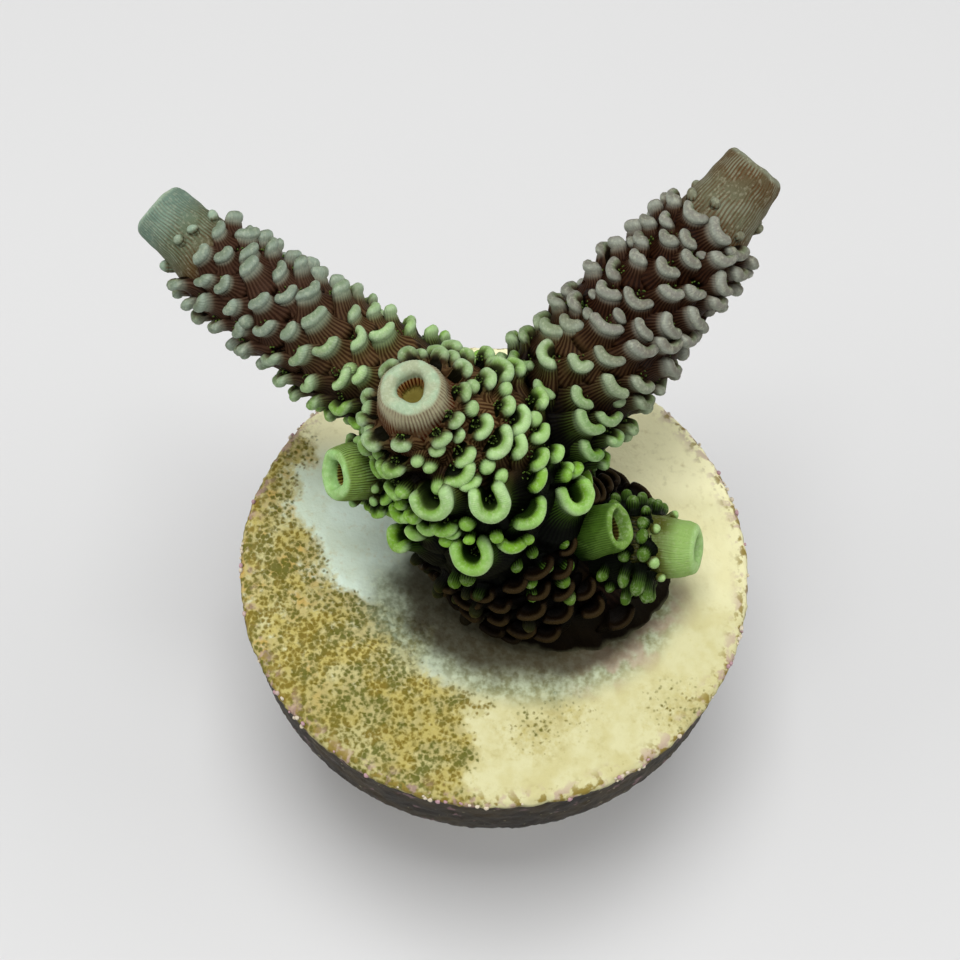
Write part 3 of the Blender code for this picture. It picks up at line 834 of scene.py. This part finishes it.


# Screen colours of each limb. A pair is (far out on a branch, near the colony's heart), and "reach" is those
# two distances in mm. A lip is "crest" on top, "edge" along its outer margin, "lime" on its inner side, and
# "pale" all over on some. It starts at the shares "crest_from" of the wall's height. Its wall is "shoulder"
# above and "wall" below, each with its own stripes, and "deep" inside. A "tube", and how strongly it is
# "lined", are given at a tip's base, middle and end. "specks" and "frosted" are shares of pale patches.
# Painted shade: "crest" and "pale" far out are darkened, "wall" is darker than "shoulder", and near the heart
# "wall", "stripe" and "deep" are near black.
PLAIN = {
    "reach": (10.5, 4.5),
    "crest": ((114, 127, 108), (132, 182, 64)),
    "pale": ((130, 144, 126), (158, 204, 112)),
    "low_crest": (116, 158, 40),
    "high_crest": (204, 234, 178),
    "edge": ((144, 158, 142), (180, 218, 146)),
    "lime": ((108, 120, 90), (118, 166, 36)),
    "shoulder": ((94, 80, 66), (62, 90, 30)),
    "shoulder_stripe": ((64, 46, 34), (28, 37, 12)),
    "wall": ((64, 44, 34), (10, 14, 6)),
    "stripe": ((42, 26, 18), (6, 8, 4)),
    "deep": ((26, 20, 12), (12, 20, 6)),
    "high_wall": (122, 96, 64),
    "high_stripe": (74, 50, 30),
    "crest_from": (0.36, 0.8),
    "tube": ((92, 74, 48), (96, 106, 84), (106, 128, 114)),
    "tube_stripe": (80, 60, 36),
    "lined": (0.9, 0.6, 0.3),
    "specks": 0.08,
    "frosted": 0.2,
    "rim": (150, 170, 148),
    "mouth": (150, 112, 64),
    "mouth_stripe": (80, 40, 16),
    "floor": (98, 90, 43),
}
LOOKS = {
    "trunk": {
        "tube": ((58, 38, 26), (100, 76, 52), (162, 156, 126)),
        "tube_stripe": (74, 34, 16),
        "lined": (0.9, 1.0, 0.5),
        "frosted": 0.0,
        "rim": (166, 188, 156),
        "mouth": (178, 138, 86),
        "mouth_stripe": (98, 46, 18),
        "floor": (118, 108, 52),
    },
    "left_branch": {
        "reach": (13.5, 5.5),
        "shoulder": ((104, 92, 74), (84, 106, 44)),
        "shoulder_stripe": ((78, 62, 46), (50, 58, 22)),
        "wall": ((70, 50, 39), (22, 24, 10)),
        "stripe": ((50, 33, 24), (14, 15, 7)),
        "crest_from": (0.26, 0.84),
        "specks": 0.15,
    },
    "right_branch": {
        # Painted shade: its lips near the heart are darker than the trunk's.
        "crest": ((116, 115, 104), (108, 150, 74)),
        "pale": ((130, 129, 120), (140, 184, 110)),
        "edge": ((148, 152, 140), (176, 212, 146)),
        "shoulder": ((90, 74, 58), (66, 88, 38)),
        "shoulder_stripe": ((60, 40, 27), (34, 38, 15)),
        "wall": ((50, 31, 20), (12, 14, 6)),
        "stripe": ((30, 16, 9), (7, 7, 4)),
        "tube": ((76, 54, 30), (104, 104, 82), (92, 82, 60)),
        "tube_stripe": (84, 54, 28),
        "lined": (0.9, 0.6, 0.8),
        "specks": 0.16,
        "frosted": 0.7,
        "rim": (124, 128, 108),
    },
    "left_stub": {
        "tube": ((24, 24, 9), (60, 68, 29), (122, 150, 74)),
        "tube_stripe": (50, 46, 16),
        "lined": (0.6, 0.9, 0.6),
        "rim": (156, 200, 126),
        "mouth": (136, 122, 56),
        "mouth_stripe": (70, 46, 16),
    },
    "low_branch": {
        "crest": ((104, 142, 62),) * 2,
        "pale": ((136, 172, 96),) * 2,
        "edge": ((140, 174, 104),) * 2,
        "shoulder": ((60, 86, 30),) * 2,
        "shoulder_stripe": ((32, 42, 16),) * 2,
        # Painted shade: its walls are near black, as near the heart.
        "wall": ((14, 20, 8),) * 2,
        "stripe": ((10, 13, 6),) * 2,
        "tube": ((20, 24, 10), (76, 80, 32), (142, 174, 98)),
        "tube_stripe": (82, 76, 34),
        "lined": (0.4, 0.2, 0.0),
        "rim": (160, 196, 124),
        "mouth": (104, 92, 40),
        "mouth_stripe": (60, 44, 18),
    },
    "low_stub": {
        "tube": ((12, 18, 7), (26, 42, 13), (68, 96, 34)),
        "tube_stripe": (20, 30, 11),
        "lined": (0.8, 0.7, 0.4),
        "specks": 0.0,
        "rim": (128, 166, 78),
        "mouth": (74, 66, 28),
        "mouth_stripe": (46, 36, 14),
        "floor": (34, 26, 10),
    },
}
PAIRED = ("crest", "pale", "edge", "lime", "shoulder", "shoulder_stripe", "wall", "stripe", "deep")


def tissue(name):
    """A limb's skin: pale lips, ribbed walls, hollows dark with painted shade, a paler tip, and a brown hem
    near the plug, deepened with painted shade.
    """
    look = {**PLAIN, **LOOKS[name]}
    shader = Shader(name + "_tissue", roughness=0.55, subsurface=0.12, shine=0.05)
    step, mix, product, add = shader.step, shader.mix, shader.product, shader.add
    height, inner, tone, tip, away, above = (shader.value(v) for v in VALUES)
    green = step(*look["reach"], away)
    here = {part: mix(green, *look[part]) for part in PAIRED}
    turns = product(shader.value("rib"), 2 * math.pi)
    broad, fine = shader.math("COSINE", turns), shader.math("COSINE", product(turns, 1.5))
    mottle, speck = shader.noise(0.9, detail=4.0), shader.noise(0.14, shift=3.0)

    # The wall, striped along its grooves, darker low down and near black in the heart with painted shade, and
    # paler high in the heart.
    groove = product(step(0.6, -0.4, fine), step(0.25, 0.5, mottle))
    high = product(step(11.6, 13.6, above), green)
    up_wall = step(0.1, 0.75, height)
    plain = mix(up_wall, mix(high, here["wall"], look["high_wall"]), here["shoulder"])
    striped = mix(up_wall, mix(high, here["stripe"], look["high_stripe"]), here["shoulder_stripe"])
    wall = mix(groove, plain, striped)

    # The tip's tube, from its base to its end, with specks, frosted patches and lines.
    base, middle, end = look["tube"]
    half_way, near_end = step(0.1, 0.55, tip), step(0.55, 0.95, tip)
    first, second, third = look["lined"]
    lined = add(first, product(half_way, second - first))
    lined = add(lined, product(near_end, third - second))
    patchy = step(0.34, 0.52, mottle)
    tube = shader.coats(
        mix(near_end, mix(half_way, base, middle), end),
        (product(step(0.5, 0.66, speck), look["specks"]), (208, 206, 178)),
        (product(step(0.48, 0.62, mottle), look["frosted"], step(0.2, 0.5, tip)), look["rim"]),
        (product(lined, patchy, step(0.3, -0.5, broad), step(0.8, 0.3, height)), look["tube_stripe"]),
    )

    # The lip: tinted low and high in the heart, pale at its edge and darker inwards. A tip's is its rim.
    crest = shader.coats(
        mix(step(0.3, 1.0, tone), here["crest"], here["pale"]),
        (product(step(9.5, 6.5, above), green, 0.75), look["low_crest"]),
        (product(high, 0.55), look["high_crest"]),
        (step(0.3, 0.02, inner), here["edge"]),
        (product(step(0.38, 0.66, inner), 0.8), here["lime"]),
        (product(step(0.0, -0.15, tone), 0.7), here["shoulder"]),
        (product(step(0.64, 0.98, inner), 0.85), here["shoulder"]),
        (step(0.1, 0.5, tip), mix(product(step(0.42, 0.6, mottle), 0.5), look["rim"], end)),
        (product(step(0.45, 0.7, speck), 0.16), (240, 246, 214)),
        (product(step(0.5, 0.3, mottle), 0.25), here["shoulder"]),
    )
    raised = shader.less(height, product(green, 0.18))
    outside = mix(step(*look["crest_from"], raised), mix(step(0.0, 0.2, tip), wall, tube), crest)

    # The tip's mouth and the corallites' hollows, darkened deep down with painted shade.
    mouth = mix(step(0.3, -0.5, broad), look["mouth"], look["mouth_stripe"])
    mouth = mix(step(0.35, 0.0, height), mouth, look["floor"])
    inside = mix(product(groove, 0.6), here["shoulder"], here["deep"])
    inside = mix(step(0.85, 0.4, height), inside, here["deep"])
    hollow = mix(step(0.4, 0.6, tip), inside, mouth)
    sunk = product(step(0.5, 0.9, inner), step(0.95, 0.75, height))

    # Brown near the plug and on the scales, deepened with painted shade, near black with painted shade low
    # down and at the ground, and a dusty margin.
    x, _ = shader.across()
    level = add(above, product(x, 0.45))
    hem = product(step(5.6, 4.6, level), step(5.4, 4.6, above), 0.92)
    brown = mix(step(0.8, 1.0, height), (26, 19, 11), (54, 43, 25))
    margin = step(0.5, 0.2, add(above, product(mottle, 0.6)))
    skin = shader.coats(
        mix(sunk, outside, hollow),
        (shader.math("MAXIMUM", hem, step(-0.2, -0.8, tone)), mix(step(0.8, 0.3, height), brown, (10, 7, 4))),
        (product(step(2.4, 1.2, above), 0.9), mix(mottle, (8, 6, 4), (30, 23, 14))),
        (product(margin, 0.5), (110, 108, 84)),
    )
    shader.bump(add(speck, product(fine, 0.25)), 0.035, 0.6)
    return shader.colour(skin)


def polyp_tissue():
    """Dark olive tentacles with yellow-green ends."""
    shader = Shader("polyp_tissue", roughness=0.5)
    speck = shader.noise(0.1)
    light = shader.step(0.45, 0.95, shader.add(shader.value("height"), shader.product(speck, 0.2)))
    shader.bump(speck, 0.01, 0.4)
    return shader.colour(shader.mix(light, (38, 48, 18), (88, 112, 46)))


def plug_ceramic():
    """Pale ceramic under films and grains of algae, with pink crusts near the rim, painted light where the
    coral shades it, a painted shadow round the foot and a side darkened with painted shade.
    """
    shader = Shader("overgrown_plug", roughness=0.62)
    step, mix, product, add = shader.step, shader.mix, shader.product, shader.add
    turf, above = shader.value("tone"), shader.value("above")
    x, y = shader.across()
    lumps, broad = shader.noise(1.3, 4.0, 2.0), shader.noise(2.6, 3.0, 20.0)
    grains, fine = shader.noise(0.3, 2.0, 5.0), shader.noise(0.14, 2.0, 8.0)

    # The part free of algae: cream, with painted light making it paler behind and to the right, and a bluish
    # film on the left, painted lighter against the coral's shade.
    cream = mix(step(0.4, 0.65, lumps), (212, 208, 160), (202, 195, 140))
    painted_light_share = product(step(5.0, 9.0, x), step(-4.0, 0.0, y), 0.5)
    cream = mix(shader.math("MAXIMUM", painted_light_share, step(2.5, 5.0, y)), cream, (255, 250, 202))
    left = product(step(1.5, -4.5, x), step(-8.5, -5.5, y), step(7.0, 4.0, y))
    film_and_painted_light = mix(step(0.35, 0.65, broad), (236, 255, 240), (220, 236, 214))

    # Algae: sandy ground, golden far left and darker in front, under olive tufts.
    ground = shader.coats(
        mix(step(0.4, 0.6, lumps), (194, 180, 104), (186, 176, 122)),
        (step(0.5, 0.62, broad), (202, 196, 140)),
        (product(step(0.5, 0.64, lumps), step(-6.0, -10.0, x), 0.6), (202, 160, 58)),
        (product(step(-5.0, -8.0, y), 0.35), (156, 144, 76)),
    )
    algae = mix(step(0.38, 0.62, lumps), (116, 98, 8), (86, 90, 12))
    patches = shader.swing(shader.noise(1.4, 2.0, 6.0), 0.9)
    reach = add(product(step(0.0, 1.0, turf), 0.5), patches)
    tufts = add(shader.less(shader.dots(0.26, grains), reach), shader.swing(fine, 1.0))
    cover = product(step(0.3, -0.25, tufts), step(0.02, 0.3, turf), 0.9)

    # Pink and olive crusts by the rim.
    rim = step(11.5, 12.6, shader.math("SQRT", add(product(x, x), product(y, y))))
    pink = product(step(0.5, 0.6, shader.noise(0.6, 4.0, 11.0)), rim, 0.75)
    olive = product(step(0.52, 0.62, shader.noise(0.5, 3.0, 14.0)), rim)

    # Dust in front of the coral's foot, its dark grains deepened with painted shade, and a painted shadow
    # round the foot: an oval by its middle and radii.
    across, along = (
        shader.math("POWER", shader.math("DIVIDE", shader.less(place, middle), radius), 2.0)
        for place, middle, radius in ((x, 1.6, 7.0), (y, -1.1, 5.6))
    )
    near = shader.less(add(across, along), product(lumps, 0.5))
    dust_and_shade = mix(step(0.3, 0.7, grains), (106, 110, 74), (178, 190, 162))
    pinkish = product(step(0.45, 0.6, lumps), step(3.0, 6.0, x), 0.7)
    top = shader.coats(
        mix(product(left, 0.95), cream, film_and_painted_light),
        (step(0.0, 1.0, add(turf, shader.swing(grains, 1.6))), ground),
        (cover, algae),
        (pink, (178, 146, 140)),
        (olive, (142, 124, 56)),
        (product(step(1.25, 0.7, near), step(0.5, -2.0, y), 0.85), mix(pinkish, dust_and_shade, (176, 150, 136))),
        # A painted shadow of the coral round its foot.
        (product(step(0.8, 0.4, near), 0.9), (52, 42, 26)),
    )

    # The disc's side, darkened with painted shade, with a few crusts, and the paler stem.
    side = shader.coats(
        mix(step(0.35, 0.65, lumps), (58, 47, 23), (34, 27, 13)),
        (step(0.6, 0.68, shader.noise(1.0, 4.0, 17.0)), (120, 92, 94)),
        (step(0.66, 0.76, grains), (150, 144, 108)),
        (step(-5.2, -7.0, above), mix(step(0.4, 0.65, lumps), (150, 136, 96), (116, 100, 58))),
    )
    shader.bump(add(product(cover, 0.6), product(fine, 0.5)), 0.08, 0.6)
    return shader.colour(mix(step(-0.7, -0.25, add(above, shader.swing(lumps, 0.8))), side, top))


def crumb_material():
    """White and pinkish crumbs."""
    shader = Shader("crumb", roughness=0.7)
    shader.bump(shader.noise(0.1), 0.03, 0.5)
    pale = shader.mix(shader.noise(0.3), (222, 214, 196), (206, 190, 160))
    pink = shader.step(0.55, 0.75, shader.value("tone"))
    return shader.colour(shader.mix(pink, pale, (186, 150, 156)))


# ---- stage

# The camera looks down at the plug: degrees above the horizon, degrees of roll, the point looked at on the
# plug's top plane in mm, the distance in mm, and the focal length in mm on a 36 mm sensor.
ELEVATION, ROLL = 61.99, -2.66
LOOK_AT = (-0.92, 4.53)
DISTANCE = 100.0
FOCAL = 74.14
# The floor's half width in metres, its grey, and its own light far from the coral, where the lamps fade.
FLOOR_HALF = 3
FLOOR_GREY = 0.72
FLOOR_GLOW = 0.5
# How bright the world is on the coral. The camera sees it white.
WORLD_LIGHT = 0.34


def camera():
    elevation, roll = math.radians(ELEVATION), math.radians(ROLL)
    back = Vector((0, -math.cos(elevation), math.sin(elevation)))
    level, rise = Vector((1, 0, 0)), Vector((0, math.sin(elevation), math.cos(elevation)))
    right = math.cos(roll) * level - math.sin(roll) * rise
    up = math.sin(roll) * level + math.cos(roll) * rise
    lens = bpy.data.cameras.new("camera")
    lens.lens, lens.sensor_width, lens.clip_start = FOCAL, 36, 0.001
    eye = add_object("camera", lens)
    eye.matrix_world = Matrix((right, up, back)).transposed().to_4x4()
    eye.location = Vector((*LOOK_AT, 0)) * MM + Vector((0, 0, PLUG_TOP)) + back * DISTANCE * MM
    bpy.context.scene.camera = eye


def area_light(name, place, size, watts):
    """A square lamp at a place in metres, turned to the coral."""
    lamp = bpy.data.lights.new(name, "AREA")
    lamp.size, lamp.energy = size, watts
    light = add_object(name, lamp)
    light.location = place
    aim = Vector((0, 0, PLUG_TOP)) - Vector(place)
    light.rotation_euler = aim.to_track_quat("-Z", "Y").to_euler()


def floor():
    corners = [(x * FLOOR_HALF, y * FLOOR_HALF, 0) for x, y in ((-1, -1), (1, -1), (1, 1), (-1, 1))]
    mesh = bpy.data.meshes.new("floor")
    mesh.from_pydata(corners, [], [(0, 1, 2, 3)])
    ground = add_object("floor", mesh)
    shader = Shader("floor", roughness=0.9)
    away = shader.node("VectorMath", {0: shader.place}, "Value", operation="LENGTH")
    glow = shader.product(shader.step(0.05, 0.6, away), FLOOR_GLOW)
    shader.give(shader.surface, {"Emission Color": (1, 1, 1, 1), "Emission Strength": glow})
    mesh.materials.append(shader.colour((FLOOR_GREY,) * 3 + (1,)))


def world():
    """Soft light from all round, with a white background behind it."""
    sky = bpy.data.worlds.new("world")
    sky.use_nodes = True
    nodes, links = sky.node_tree.nodes, sky.node_tree.links
    background = nodes["Background"]
    background.inputs["Color"].default_value = (1, 1, 1, 1)
    strength = nodes.new("ShaderNodeMapRange")
    strength.inputs["To Min"].default_value = WORLD_LIGHT
    strength.inputs["To Max"].default_value = 1.0
    links.new(nodes.new("ShaderNodeLightPath").outputs["Is Camera Ray"], strength.inputs["Value"])
    links.new(strength.outputs["Result"], background.inputs["Strength"])
    bpy.context.scene.world = sky


coral()
plug_skin()
rim_crumbs()
floor()
world()
area_light("key", (-0.01, 0.0, 0.27), 0.12, 0.46)
area_light("right_fill", (0.2, 0.0, 0.16), 0.15, 0.12)
area_light("left_fill", (-0.2, -0.05, 0.14), 0.15, 0.12)
camera()
bpy.context.scene.view_settings.view_transform = "Standard"
